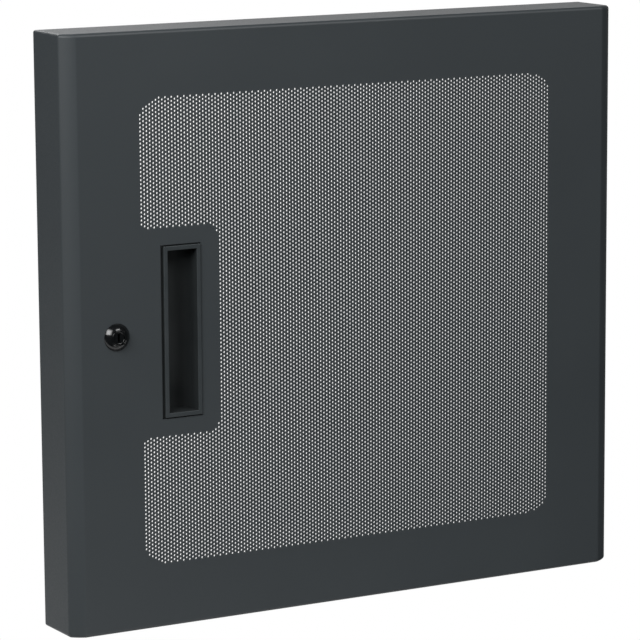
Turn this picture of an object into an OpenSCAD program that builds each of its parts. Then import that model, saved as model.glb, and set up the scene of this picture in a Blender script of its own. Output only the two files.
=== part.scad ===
// Perforated steel door for a wall rack: a folded pan with a punched field, a cam lock, a recessed
// pull and two pin hinges on the right. +X is right, +Y runs towards the rack and +Z is up. The
// origin is the middle of the overall box, at its bottom. Modules measure y from the front sheet.

/* [Pan] */
// Overall width
door_w = 508; // [480:1:600]
// Overall height
door_h = 477; // [440:1:600]
// Depth from the front sheet to the back edge
door_d = 54; // [52:1:66]
// Thickness of the sheet steel
sheet = 1.5; // [1.2:0.1:1.8]
// Outer radius of the two upright front bends
side_bend = 13; // [8:0.5:16]
// Outer radius of the bends along the top and bottom
end_bend = 3; // [2.5:0.1:4]
// Width of the lips turned in at the back
lip = 10; // [9:0.5:10]

/* [Perforated field] */
// Plain sheet beside the field, on each side
field_side = 61.7; // [60:0.1:70]
// Plain sheet above and below the field
field_end = 50.9; // [48:0.1:60]
// Corner radius of the field
field_r = 21; // [12:1:30]
// Distance between neighbouring holes
hole_pitch = 15.875; // [15.875:3.175:31.75]
// Width of a hole as a share of that distance
hole_share = 0.63; // [0.4:0.01:0.7]

/* [Plain land round the pull] */
// Width of the land, from the edge of the field
land_w = 71; // [66:0.5:80]
// Height of the land
land_h = 164.4; // [160:0.2:200]
// Radius of the two corners of the land
land_r = 13; // [8:1:20]
// Radius of the field's corners above and below the land
neck_r = 9; // [4:1:14]

/* [Pull] */
// Distance from the left edge of the door to the middle of the pull
pull_in = 99.6; // [96:0.1:102]
// Width of the opening in the sheet
pull_w = 36.5; // [35:0.5:42]
// Height of the opening in the sheet
pull_h = 139; // [120:1:150]
// Gap between the edge of the sheet and the rim
pull_gap = 1.5; // [1:0.1:2.5]
// Width of the rim
pull_band = 3.5; // [3:0.25:5]
// Depth of the recess
pull_depth = 20; // [18:1:24]
// Radius along the back of the recess
trough_r = 12; // [8:0.5:12.5]
// How far the rim stands out of the sheet
pull_out = 1.2; // [0.2:0.1:1.5]

/* [Lock] */
// Distance from the left edge of the door to the lock's axis
lock_in = 42.5; // [40:0.5:46]
// Width of the lock's face
face_d = 22; // [21:0.5:26]
// How far the lock's face stands out of the sheet
face_out = 4.5; // [3:0.1:5]
// Width of the threaded body
lock_d = 19; // [18:0.5:20]
// Width of the body across its two flats
flats_w = 16; // [15:0.5:17]
// Width of the turning plug
plug_d = 12.2; // [11:0.1:12.4]
// Length of the body behind the face
lock_len = 36; // [34:1:38]
// Quarter turn of the cam
cam_turn = 90; // [60:5:90]
// Reach of the cam from the lock's axis
cam_reach = 32; // [28:1:36]

/* [Hinges] */
// Distance from the right side of the door to the hinge axis
axis_in = 10; // [10:0.5:12]
// Distance from the back edge of the door to the hinge axis
axis_back = 8; // [7:0.5:9]
// Width of the hinge pins
pin_d = 6; // [5:0.1:6.4]
// How far the sprung pin draws back
pin_travel = 10; // [9:0.5:11]
// Thickness of the leaves on the rack
leaf_t = 2.5; // [2:0.1:3]
// Height of a leaf's bolted flange
leaf_h = 13.5; // [13:0.5:16]
// From the top of the door down to the upper leaf
leaf_drop = 2.5; // [0:0.5:4]
// Distance between the two bolt holes of a leaf
bolt_gap = 25; // [20:1:28]
// Width of a bolt hole
bolt_d = 5.5; // [4.5:0.1:6.5]
// Gap between the closed door and the face of the rack
rack_gap = 5.5; // [5:0.1:6]

/* [Hidden] */
$fn = 48;
eps = 0.01;
run_gap = 0.05;   // radial clearance of a turning or sliding fit

coat = [0.17, 0.18, 0.19];
black = [0.06, 0.06, 0.065];
zinc = [0.72, 0.72, 0.7];
brass = [0.75, 0.6, 0.3];

half_w = door_w / 2;
mid_z = door_h / 2;
wall_x = half_w - sheet;          // inner face of the side walls
back_bend = 2;                    // outer radius of the lips' bends

// Field of holes
field_hw = half_w - field_side;
field_hh = mid_z - field_end;
hole_r = hole_pitch * hole_share / 2;
col_step = hole_pitch * sqrt(3) / 2;
cols = floor(field_hw / col_step);
rows = floor(field_hh / hole_pitch);

// Pull
pull_x = -half_w + pull_in;
rim_w = pull_w - 2 * pull_gap;
rim_h = pull_h - 2 * pull_gap;
open_w = rim_w - 2 * pull_band;
open_h = rim_h - 2 * pull_band;
cup_wall = 2;
rim_bevel = 0.8;                  // outer bevel of the rim
mouth_bevel = 1.2;                // bevel into the recess
flange_t = 1.6;                   // flange bonded to the back of the sheet
flange_reach = 5;                 // from the edge of the opening to the edge of the flange

// Lock, measured along its axis from the front sheet
lock_at_x = -half_w + lock_in;
dome_r = face_d / 2 + 2;          // the face is part of a ball of this radius
dome_z = sqrt(pow(dome_r, 2) - pow(face_d / 2, 2));   // from the sheet back to the ball's centre
plug_r = plug_d / 2;
plug_face = face_out - 0.2;       // from the sheet out to the plug's face
key_end = 24;
washer_t = 0.8;
nut_t = 4;
stop_t = 1.2;
cam_t = 2.2;
cam_w = 14;
tail_w = 7;
hub_r = 9;                        // end of the cam's hub
cam_y = lock_len + stop_t;        // front face of the cam's hub
rack_y = door_d + rack_gap;       // face of the rack
hook_y = rack_y + 2.5;            // front face of the cam's tip, behind a 2 mm rack flange
cam_bend = 4;                     // outer radius of the cam's two bends
cam_leg = 9;                      // distance from the lock's axis to the first bend's centre
screw_r = 2;
wafer_t = 1;
wafer_w = 6.4;
wafer_h = 10.2;
wafer_ys = [for (i = [0 : 4]) 6 + 4 * i];
lug_arc = 20;
lug_at = -150;                    // angle of the stop lug's first side
slot_slack = 1;                   // degrees left free at each end of the turn

// Hinges
axis_x = half_w - axis_in;
axis_y = door_d - axis_back;
pin_r = pin_d / 2;
bracket_t = 2;
bracket_x = axis_x - 8;
bracket_hy = 7;                   // half the width of a bracket's ears
bracket_bend = 3;
ear_gap = 1.5;                    // between the sprung pin's bracket and the upper leaf
washer_h = 2;                     // nylon washer that carries the door
leaf_z = door_h - leaf_drop - leaf_h;   // underside of the upper leaf's ear
ear_top = leaf_z - ear_gap;
bracket_h = 45.5;
ear_low = ear_top - bracket_h + bracket_t;
clip_t = 1;
clip_z = ear_top - bracket_t - clip_t;
tip_z = ear_top - 1 + pin_travel;   // drawn back, the tip sits 1 mm inside the ear
tail_bend = 6;
tail_z = ear_low - bracket_t - 8;
tail_len = 10;
washer_z = leaf_drop + leaf_h;
low_ear = washer_z + washer_h;    // underside of the lower bracket's ear
low_bracket_h = 32;
spring_r = 4.4;
spring_wire = 1.1;
leaf_end = 9.5;                   // from a bolt's centre to the end of the leaf's flange
leaf_x1 = axis_x - 16;            // right end of the flange
leaf_x0 = leaf_x1 - bolt_gap - 2 * leaf_end;
leaf_bolt_x = (leaf_x0 + leaf_x1) / 2;
leaf_bolt_z = door_h - leaf_drop - 5.5;
ear_in = 10;                      // from each end of the flange to the side of the ear
neck_back = 5;                    // the ear's neck, behind and in front of the axis
neck_front = 6;
ear_r = 7;

bumper_r = 3.8;
bumper_in = 6;                    // from the edge of the door to a bumper's centre
bumper_rise = 40;                 // height of the lower left bumper
bumper_x = 120;
bumper_xz = [for (z = [bumper_rise, door_h - bumper_rise]) [-half_w + bumper_in, z],
             for (z = [bumper_in, door_h - bumper_in]) [bumper_x, z]];

mid_y = (hook_y + cam_t - face_out) / 2;

// Moves a piece from the front sheet's frame to the frame of the overall box
module placed() {
  translate([0, -mid_y, 0]) children();
}

// Turns a piece built along +Z so that it runs back from the front sheet at the lock
module on_lock() {
  placed() translate([lock_at_x, 0, mid_z]) rotate([-90, 0, 0]) children();
}

module on_hinge_axis() {
  placed() translate([axis_x, axis_y, 0]) children();
}

// ---- pan ----

// Plan of a pan with its two front corners rounded
module pan_plan(hw, y0, y1, r) {
  translate([-hw, y0 + r]) square([2 * hw, y1 - y0 - r]);
  translate([-hw + r, y0]) square([2 * (hw - r), r + eps]);
  for (s = [-1, 1]) translate([s * (hw - r), y0 + r]) circle(r);
}

// Block with upright front corners of radius r and all its top and bottom edges rounded by e
module pan_block(hw, y0, y1, z0, z1, r, e) {
  translate([0, 0, z0 + e]) linear_extrude(z1 - z0 - 2 * e) pan_plan(hw, y0, y1, r);
  translate([0, 0, z0]) linear_extrude(z1 - z0) pan_plan(hw - e, y0 + e, y1, r - e);
  for (z = [z0 + e, z1 - e]) {
    translate([-hw + r, y0 + e, z]) rotate([0, 90, 0]) cylinder(r = e, h = 2 * (hw - r));
    for (s = [-1, 1]) {
      translate([s * (hw - e), y0 + r, z]) rotate([-90, 0, 0]) cylinder(r = e, h = y1 - y0 - r);
      translate([s * (hw - r), y0 + r, z]) rotate(s < 0 ? 180 : 270)
        rotate_extrude(angle = 90) translate([r - e, 0]) circle(e);
    }
  }
}

// Bar that rounds an edge: the corner of a square outside a circle, along +Z
module edge_cutter(r, h) {
  linear_extrude(h) difference() {
    square(r + 1);
    circle(r);
  }
}

// Distance from a point to a rounded rectangle of half sizes hw and hh
function past_box(u, v, hw, hh, r) =
  norm([max(abs(u) - hw + r, 0), max(abs(v) - hh + r, 0)]) - r;

function in_field(u, v) =
  past_box(u, v, field_hw, field_hh, field_r) <= -hole_r;

// The land is a rounded block that comes in from the left
function off_land(u, v) =
  past_box(u + field_hw, v, land_w, land_h / 2, land_r) >= hole_r;

// Rounded ends of the field above and below the land
function off_neck(u, v) =
  u > -field_hw + neck_r || abs(v) > land_h / 2 + neck_r
  || norm([u + field_hw - neck_r, abs(v) - land_h / 2 - neck_r]) <= neck_r - hole_r;

function is_hole(u, v) = in_field(u, v) && off_land(u, v) && off_neck(u, v);

// Centres of the holes: upright columns, every second one shifted by half a pitch
hole_uv = [for (c = [-cols : cols], k = [-rows - 1 : rows])
  let (u = c * col_step, v = (k + (c % 2 == 0 ? 0 : 0.5)) * hole_pitch)
  if (is_hole(u, v)) [u, v]];

module lock_outline(gap) {
  intersection() {
    circle(lock_d / 2 + gap);
    square([lock_d + 2, flats_w + 2 * gap], center = true);
  }
}

module door_skin() placed() color(coat) difference() {
  pan_block(half_w, 0, door_d, 0, door_h, side_bend, end_bend);
  pan_block(wall_x, sheet, door_d - sheet, sheet, door_h - sheet, side_bend - sheet, end_bend - sheet);
  // way in from the back, between the lips
  translate([-half_w + lip, door_d - sheet - 1, lip])
    cube([wall_x + half_w - lip, sheet + 2, door_h - 2 * lip]);
  // round bends of the three lips
  translate([-half_w + back_bend, door_d - back_bend, -1]) rotate(90) edge_cutter(back_bend, door_h + 2);
  translate([-half_w - 1, door_d - back_bend, door_h - back_bend]) rotate([90, 0, 90])
    edge_cutter(back_bend, door_w + 2);
  translate([-half_w - 1, door_d - back_bend, back_bend]) mirror([0, 0, 1]) rotate([90, 0, 90])
    edge_cutter(back_bend, door_w + 2);
  // punched holes
  for (p = hole_uv) translate([p[0], -1, mid_z + p[1]]) rotate([-90, 0, 0])
    cylinder(r = hole_r, h = sheet + 2);
  translate([lock_at_x, -1, mid_z]) rotate([-90, 0, 0]) linear_extrude(sheet + 2) lock_outline(0.1);
  translate([pull_x, sheet / 2, mid_z])
    cube([pull_w, sheet + 2, pull_h], center = true);
}

// Plan of the recess, with its two back corners rounded
module trough(w, d, r) {
  translate([-w / 2, -3]) square([w, d - r + 3]);
  translate([-w / 2 + r, 0]) square([w - 2 * r, d]);
  for (s = [-1, 1]) translate([s * (w / 2 - r), d - r]) circle(r);
}

// Thin plate across y, for hulls
module slab(w, h, y) {
  translate([-w / 2, y - eps, -h / 2]) cube([w, eps, h]);
}

module pull_cup() placed() translate([pull_x, 0, mid_z]) color(black) difference() {
  union() {
    // rim that stands in the opening of the sheet
    hull() {
      slab(rim_w, rim_h, sheet + eps);
      slab(rim_w, rim_h, rim_bevel - pull_out);
      slab(rim_w - 2 * rim_bevel, rim_h - 2 * rim_bevel, eps - pull_out);
    }
    translate([-pull_w / 2 - flange_reach, sheet, -pull_h / 2 - flange_reach])
      cube([pull_w + 2 * flange_reach, flange_t, pull_h + 2 * flange_reach]);
    translate([0, 0, -open_h / 2 - cup_wall]) linear_extrude(open_h + 2 * cup_wall) intersection() {
      trough(open_w + 2 * cup_wall, pull_depth + cup_wall, trough_r + cup_wall);
      translate([-pull_w, sheet]) square([2 * pull_w, pull_depth + 2 * cup_wall]);
    }
  }
  translate([0, 0, -open_h / 2]) linear_extrude(open_h) trough(open_w, pull_depth, trough_r);
  // bevel into the recess
  hull() {
    slab(open_w + 2 * mouth_bevel, open_h + 2 * mouth_bevel, -pull_out);
    slab(open_w, open_h, mouth_bevel - pull_out);
  }
}

// ---- lock ----

// Sector of a disc between two angles
module sector(r, a0, a1) {
  polygon(concat([[0, 0]], [for (i = [0 : 8]) let (a = a0 + (a1 - a0) * i / 8) 2 * r * [cos(a), sin(a)]]));
}

module lock_housing() on_lock() color(black) difference() {
  union() {
    // domed face, cut off flat and open in the middle for the plug
    intersection() {
      translate([0, 0, dome_z]) sphere(dome_r);
      translate([0, 0, -face_out]) cylinder(r = face_d / 2, h = face_out + 0.02);
    }
    linear_extrude(lock_len) lock_outline(0);
    // stop lug on the end of the body
    translate([0, 0, lock_len - eps]) linear_extrude(stop_t) intersection() {
      difference() {
        circle(flats_w / 2 + 0.8);
        circle(plug_r + 1);
      }
      sector(lock_d, lug_at, lug_at + lug_arc);
    }
  }
  translate([0, 0, -face_out - 1]) cylinder(r = plug_r + run_gap, h = lock_len + face_out + stop_t + 2);
  // grooves that the wafers enter when the key is out
  translate([-wafer_w / 2 - 0.2, -flats_w / 2 + 1, 4]) cube([wafer_w + 0.4, flats_w - 2, 22]);
}

module lock_washer() on_lock() color(zinc) translate([0, 0, sheet]) linear_extrude(washer_t) difference() {
  circle(lock_d / 2 + 3.2);
  circle(lock_d / 2 + 0.1);
  // teeth
  for (i = [0 : 15]) rotate(i * 22.5) translate([lock_d / 2 + 2, -0.5]) square([3, 1]);
}

module lock_nut() on_lock() color(zinc) translate([0, 0, sheet + washer_t]) difference() {
  cylinder(r = 13.8, h = nut_t, $fn = 6);
  translate([0, 0, -1]) cylinder(r = lock_d / 2 + run_gap, h = nut_t + 2);
}

module lock_plug() on_lock() color(black) difference() {
  union() {
    translate([0, 0, -plug_face]) cylinder(r = plug_r, h = lock_len + plug_face);
    translate([-tail_w / 2, -tail_w / 2, 0]) cube([tail_w, tail_w, cam_y + cam_t - 0.2]);
  }
  // keyway
  translate([-1, -3.4, -plug_face - 1]) cube([2, 6.8, key_end + plug_face + 1]);
  translate([0, 0, -plug_face - 0.7]) cylinder(r = 4.2, h = 1);
  // slots for the wafers and their side lugs
  for (y = wafer_ys) translate([0, 0, y - 0.1]) {
    translate([-wafer_w / 2 - 0.1, -plug_r - 1, 0]) cube([wafer_w + 0.2, 2 * plug_r + 2, wafer_t + 0.2]);
    translate([0, 0.6, 0]) cube([5.1, 1.2, wafer_t + 0.2]);
  }
  translate([0, 0, 28]) cylinder(r = screw_r, h = 20);
}

module lock_wafers() on_lock() color(brass) for (y = wafer_ys) translate([0, 0, y]) linear_extrude(wafer_t)
  difference() {
    union() {
      square([wafer_w, wafer_h], center = true);
      translate([0, 0.7]) square([4.9, 1]);
    }
    translate([-1.2, -2.8]) square([2.4, 5.6]);
  }

module stop_washer() on_lock() color(zinc) translate([0, 0, lock_len]) linear_extrude(stop_t) difference() {
  circle(flats_w / 2 + 1);
  square(tail_w + 0.1, center = true);
  // notch that the stop lug runs in
  difference() {
    sector(lock_d, lug_at + lug_arc + slot_slack - cam_turn - lug_arc - 2 * slot_slack,
           lug_at + lug_arc + slot_slack);
    circle(plug_r + 0.5);
  }
}

// Outline of the bent cam: hub, step back and tip, drawn in x and along the lock
module cam_profile() {
  inner = cam_bend - cam_t;
  x1 = -cam_leg;
  z1 = cam_y + cam_bend;
  x2 = x1 - cam_bend - inner;
  z2 = hook_y + cam_t - cam_bend;
  translate([x1, cam_y]) square([hub_r - x1, cam_t]);
  translate([x1 - cam_bend, z1]) square([cam_t, z2 - z1]);
  translate([-cam_reach, hook_y]) square([cam_reach + x2, cam_t]);
  for (b = [[x1, z1, 180], [x2, z2, 0]]) translate([b[0], b[1]]) rotate(b[2]) intersection() {
    difference() {
      circle(cam_bend);
      circle(inner);
    }
    square(cam_bend + 1);
  }
}

module lock_cam() on_lock() color(zinc) difference() {
  intersection() {
    translate([0, cam_w / 2, 0]) rotate([90, 0, 0]) linear_extrude(cam_w) cam_profile();
    // rounded hub and tip
    union() {
      cylinder(r = hub_r, h = 2 * cam_y);
      translate([-cam_reach + cam_w / 2, -cam_w / 2, 0]) cube([cam_reach - cam_w / 2, cam_w, 2 * cam_y]);
      translate([-cam_reach + cam_w / 2, 0, 0]) cylinder(r = cam_w / 2, h = 2 * cam_y);
    }
  }
  translate([0, 0, cam_y]) cube([tail_w + 0.1, tail_w + 0.1, 10], center = true);
}

module cam_washer() on_lock() color(zinc) translate([0, 0, cam_y + cam_t]) difference() {
  cylinder(r = 5.4, h = washer_t);
  translate([0, 0, -1]) cylinder(r = screw_r + 0.1, h = washer_t + 2);
  // split of the spring washer
  translate([0, -0.4, -1]) cube([8, 0.8, washer_t + 2]);
}

module cam_screw() on_lock() color(zinc) {
  translate([0, 0, cam_y + cam_t + washer_t]) cylinder(r = 4.4, h = 3, $fn = 6);
  translate([0, 0, 30]) cylinder(r = screw_r - run_gap, h = cam_y + cam_t + washer_t - 29);
}

// ---- hinges ----

// Rectangle with its two right corners rounded
module right_rounded(w, h, r) {
  square([w - r, h]);
  translate([0, r]) square([w, h - 2 * r]);
  for (y = [r, h - r]) translate([w - r, y]) circle(r);
}

// Angle or channel against the side wall, as a strip bracket_t thick
module bracket_profile(h) {
  w = wall_x - bracket_x;
  difference() {
    right_rounded(w, h, bracket_bend);
    translate([-1, bracket_t])
      right_rounded(w - bracket_t + 1, h - 2 * bracket_t, bracket_bend - bracket_t);
  }
}

module upper_bracket() placed() color(coat) difference() {
  translate([bracket_x, axis_y + bracket_hy, ear_low - bracket_t]) rotate([90, 0, 0])
    linear_extrude(2 * bracket_hy) bracket_profile(bracket_h);
  translate([axis_x, axis_y, ear_low - 5]) cylinder(r = pin_r + run_gap, h = bracket_h + 10);
}

module lower_bracket() placed() color(coat) difference() {
  translate([bracket_x, axis_y + bracket_hy, low_ear]) rotate([90, 0, 0]) linear_extrude(2 * bracket_hy)
    difference() {
      bracket_profile(low_bracket_h + 10);
      translate([-1, low_bracket_h]) square([30, 20]);
    }
  translate([axis_x, axis_y, low_ear - 1]) cylinder(r = pin_r + run_gap, h = 5);
}

module upper_hinge_pin() on_hinge_axis() color(zinc) difference() {
  union() {
    translate([0, 0, tail_z]) cylinder(r = pin_r, h = tip_z - pin_r - tail_z);
    translate([0, 0, tip_z - pin_r]) sphere(pin_r);
    translate([-tail_bend, 0, tail_z]) rotate([-90, 0, 0]) rotate_extrude(angle = 90)
      translate([tail_bend, 0]) circle(pin_r);
    translate([-tail_bend - tail_len, 0, tail_z - tail_bend]) rotate([0, 90, 0])
      cylinder(r = pin_r, h = tail_len);
  }
  // groove for the clip
  translate([0, 0, clip_z - 0.1]) difference() {
    cylinder(r = pin_r + 1, h = clip_t + 0.2);
    translate([0, 0, -1]) cylinder(r = pin_r - 0.6, h = clip_t + 3);
  }
}

module pin_clip() on_hinge_axis() color(zinc) translate([0, 0, clip_z]) linear_extrude(clip_t)
  difference() {
    circle(pin_r + 2.8);
    circle(pin_r - 0.55);
    translate([-10, -pin_r + 0.9]) square([10, 2 * pin_r - 1.8]);
  }

// Coil spring along +Z with a closed turn at each end
module coil(r, wire, len, turns, per_turn, sides) {
  n = turns * per_turn;
  pitch_end = wire * 1.08;
  pitch_mid = (len - wire - 2 * pitch_end) / (turns - 2);
  function rise(t) = t < 1 ? pitch_end * t
    : t > turns - 1 ? len - wire - pitch_end * (turns - t)
    : pitch_end + pitch_mid * (t - 1);
  points = [for (i = [0 : n], j = [0 : sides - 1])
    let (a = 360 * i / per_turn, b = 360 * j / sides, q = r + wire / 2 * cos(b))
    [q * cos(a), q * sin(a), wire / 2 + rise(i / per_turn) + wire / 2 * sin(b)]];
  skin = [for (i = [0 : n - 1], j = [0 : sides - 1])
    let (k = (j + 1) % sides)
    [i * sides + j, (i + 1) * sides + j, (i + 1) * sides + k, i * sides + k]];
  first = [for (j = [0 : sides - 1]) j];
  last = [for (j = [sides - 1 : -1 : 0]) n * sides + j];
  polyhedron(points, concat(skin, [first, last]));
}

module pin_spring() on_hinge_axis() color(zinc) translate([0, 0, ear_low])
  coil(spring_r, spring_wire, clip_z - ear_low, 9, 14, 6);

// Leaf on the rack: a bolted flange and an ear that reaches round to the hinge axis
module leaf() placed() color(coat) difference() {
  union() {
    translate([leaf_x0, rack_y - leaf_t, leaf_z]) cube([leaf_x1 - leaf_x0, leaf_t, leaf_h]);
    translate([0, 0, leaf_z]) linear_extrude(leaf_t) {
      translate([leaf_x0 + ear_in, axis_y - neck_front])
        square([leaf_x1 - leaf_x0 - ear_in - back_bend, rack_y - axis_y + neck_front]);
      translate([leaf_x1 - ear_in, axis_y - neck_front])
        square([axis_x - leaf_x1 + ear_in, neck_back + neck_front]);
      translate([axis_x, axis_y]) circle(ear_r);
    }
  }
  translate([axis_x, axis_y, leaf_z - 1]) cylinder(r = pin_r + run_gap, h = leaf_t + 2);
  for (s = [-1, 1]) translate([leaf_bolt_x + s * bolt_gap / 2, rack_y - leaf_t - 1, leaf_bolt_z])
    rotate([-90, 0, 0]) cylinder(r = bolt_d / 2, h = leaf_t + 2);
  // round bend between flange and ear
  translate([leaf_x0 - 1, rack_y - back_bend, leaf_z + back_bend]) rotate([90, 0, 90]) rotate(-90)
    edge_cutter(back_bend, leaf_x1 - leaf_x0 + 2);
}

module upper_leaf() leaf();

module lower_leaf() translate([0, 0, door_h]) mirror([0, 0, 1]) leaf();

module lower_hinge_pin() on_hinge_axis() color(zinc) {
  round_z = door_h - tip_z + pin_r;   // where the rounded tip begins
  head_z = low_ear + bracket_t;
  translate([0, 0, round_z]) sphere(pin_r);
  translate([0, 0, round_z]) cylinder(r = pin_r, h = head_z - round_z);
  translate([0, 0, head_z]) cylinder(r = pin_r + 1.5, h = 1.5);
}

module hinge_washer() on_hinge_axis() color("white") translate([0, 0, washer_z]) difference() {
  cylinder(r = ear_r, h = washer_h);
  translate([0, 0, -1]) cylinder(r = pin_r + run_gap, h = washer_h + 2);
}

module door_bumpers() placed() color(black) for (p = bumper_xz)
  translate([p[0], door_d, p[1]]) rotate([-90, 0, 0])
    cylinder(r1 = bumper_r, r2 = bumper_r - 0.8, h = rack_gap);

door_skin();
pull_cup();
lock_housing();
lock_washer();
lock_nut();
lock_plug();
lock_wafers();
stop_washer();
lock_cam();
cam_washer();
cam_screw();
upper_bracket();
upper_hinge_pin();
pin_spring();
pin_clip();
upper_leaf();
lower_bracket();
lower_hinge_pin();
hinge_washer();
lower_leaf();
door_bumpers();
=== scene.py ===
import bpy
import numpy as np
from mathutils import Euler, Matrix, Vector, geometry


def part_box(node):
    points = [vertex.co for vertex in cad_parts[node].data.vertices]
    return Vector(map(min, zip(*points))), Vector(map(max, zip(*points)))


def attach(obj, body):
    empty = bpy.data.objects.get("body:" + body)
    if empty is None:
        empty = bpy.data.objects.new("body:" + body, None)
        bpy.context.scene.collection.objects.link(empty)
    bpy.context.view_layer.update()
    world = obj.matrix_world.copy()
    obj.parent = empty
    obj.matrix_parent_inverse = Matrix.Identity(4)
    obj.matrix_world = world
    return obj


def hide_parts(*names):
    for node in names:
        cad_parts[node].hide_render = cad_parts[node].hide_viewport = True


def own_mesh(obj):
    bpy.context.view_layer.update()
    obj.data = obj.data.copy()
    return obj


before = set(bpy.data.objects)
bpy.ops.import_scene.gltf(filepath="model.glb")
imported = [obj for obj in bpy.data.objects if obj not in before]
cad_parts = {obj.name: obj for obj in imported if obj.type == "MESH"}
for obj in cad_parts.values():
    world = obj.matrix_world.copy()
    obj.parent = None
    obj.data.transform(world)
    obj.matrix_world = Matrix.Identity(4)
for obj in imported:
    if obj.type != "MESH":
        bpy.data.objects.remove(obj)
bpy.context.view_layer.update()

MM = 0.001


# ---- room ----
# A studio for a dark object: white backdrop and floor behind it, and a nearly black side in front. The
# door hangs clear of the floor, as it does on the rack. Five soft boxes light its front, left and top.


class Shade:
    """A socket of a node tree. Arithmetic on it adds Math nodes, and add() adds any other node."""

    def __init__(self, tree, socket=None):
        self.tree = tree
        self.socket = socket

    def add(self, kind, settings, sockets, output=0):
        """Adds a node, makes its settings first and then fills its sockets. Returns one output."""
        made = self.tree.nodes.new(kind)
        for name, value in settings.items():
            setattr(made, name, value)
        for name, value in sockets.items():
            if isinstance(value, Shade):
                self.tree.links.new(value.socket, made.inputs[name])
            else:
                made.inputs[name].default_value = value
        return Shade(self.tree, made.outputs[output] if made.outputs else None)

    def math(self, operation, first, second=0.0):
        return self.add("ShaderNodeMath", {"operation": operation}, {0: first, 1: second})

    def __add__(self, other):
        return self.math("ADD", self, other)

    __radd__ = __add__

    def __sub__(self, other):
        return self.math("SUBTRACT", self, other)

    def __rsub__(self, other):
        return self.math("SUBTRACT", other, self)

    def __mul__(self, other):
        return self.math("MULTIPLY", self, other)

    __rmul__ = __mul__

    def clip(self):
        return self.add("ShaderNodeClamp", {}, {"Value": self})

    def smooth(self, low, high):
        """0 below low, 1 above high, with an S-shaped rise between them."""
        return self.add(
            "ShaderNodeMapRange",
            {"interpolation_type": "SMOOTHSTEP"},
            {"Value": self, "From Min": low, "From Max": high},
        )

    def mix(self, first, second):
        """Colour first where this is 0 and second where it is 1."""
        return self.add(
            "ShaderNodeMix",
            {"data_type": "RGBA"},
            {"Factor": self, 6: first, 7: second},
            output=2,
        )


camera_data = bpy.data.cameras.new("camera")
camera_data.lens = 188.43
camera_data.clip_end = 60.0
camera = bpy.data.objects.new("camera", camera_data)
camera.location = (-1.33111, -2.35584, 0.69980)
camera.rotation_euler = Euler(np.radians((80.1264, 0.3546, -29.2899)))
bpy.context.collection.objects.link(camera)
bpy.context.scene.camera = camera
bpy.context.scene.view_settings.view_transform = "Standard"

ROOM_LEVEL = 0.02      # level of the room round the door
BACKDROP = 1.0         # level of the white backdrop behind it
BACKDROP_AT = (0.49, 0.87, 0.0)
BACKDROP_EDGE = (0.75, 0.97)      # cosine of the angle from its middle where it begins and is full
WHITE = (1.0, 1.0, 1.0, 1.0)
world = bpy.data.worlds.new("room")
world.use_nodes = True
world.node_tree.nodes.clear()
room = Shade(world.node_tree)
direction = room.add("ShaderNodeTexCoord", {}, {}, output="Generated")
toward_drop = room.add("ShaderNodeVectorMath", {"operation": "DOT_PRODUCT"},
                       {0: direction, 1: BACKDROP_AT}, output="Value").smooth(*BACKDROP_EDGE)
level = toward_drop * (BACKDROP - ROOM_LEVEL) + ROOM_LEVEL
seen = room.add("ShaderNodeLightPath", {}, {}, output="Is Camera Ray")
seen = (seen + room.add("ShaderNodeLightPath", {}, {}, output="Is Transmission Ray")).clip()
level = seen * (1 - level) + level
background = room.add("ShaderNodeBackground", {}, {"Color": WHITE, "Strength": level})
room.add("ShaderNodeOutputWorld", {}, {"Surface": background})
bpy.context.scene.world = world

FLOOR_DROP = 0.9       # from the foot of the door down to the floor
FLOOR_LEFT, FLOOR_RIGHT, FLOOR_BACK = -4.0, 1.2, 4.0
FLOOR_FRONT = -0.35    # the floor begins a little in front of the door
FLOOR_PAINT = (0.9, 0.9, 0.9, 1.0)
floor_mesh = bpy.data.meshes.new("floor")
corners = ((FLOOR_LEFT, FLOOR_FRONT), (FLOOR_RIGHT, FLOOR_FRONT), (FLOOR_RIGHT, FLOOR_BACK),
           (FLOOR_LEFT, FLOOR_BACK))
floor_mesh.from_pydata([(x, y, -FLOOR_DROP) for x, y in corners], [], [(0, 1, 2, 3)])
floor = bpy.data.objects.new("floor", floor_mesh)
bpy.context.collection.objects.link(floor)
floor_paint = bpy.data.materials.new("floor_paint")
floor_paint.use_nodes = True
floor_paint.node_tree.nodes.clear()
paint = Shade(floor_paint.node_tree)
direct = paint.add("ShaderNodeLightPath", {}, {}, output="Is Camera Ray")
glossy = paint.add("ShaderNodeLightPath", {}, {}, output="Is Glossy Ray")
through = paint.add("ShaderNodeLightPath", {}, {}, output="Is Transmission Ray")
lit = (direct + glossy + through).clip()
matt = paint.add("ShaderNodeBsdfDiffuse", {}, {"Color": FLOOR_PAINT})
glow = paint.add("ShaderNodeEmission", {}, {"Color": WHITE, "Strength": BACKDROP})
mixed = paint.add("ShaderNodeMixShader", {}, {0: lit, 1: matt, 2: glow})
paint.add("ShaderNodeOutputMaterial", {}, {"Surface": mixed})
floor_mesh.materials.append(floor_paint)

DOOR_MIDDLE = Vector((0, 0, 0.24))
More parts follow.
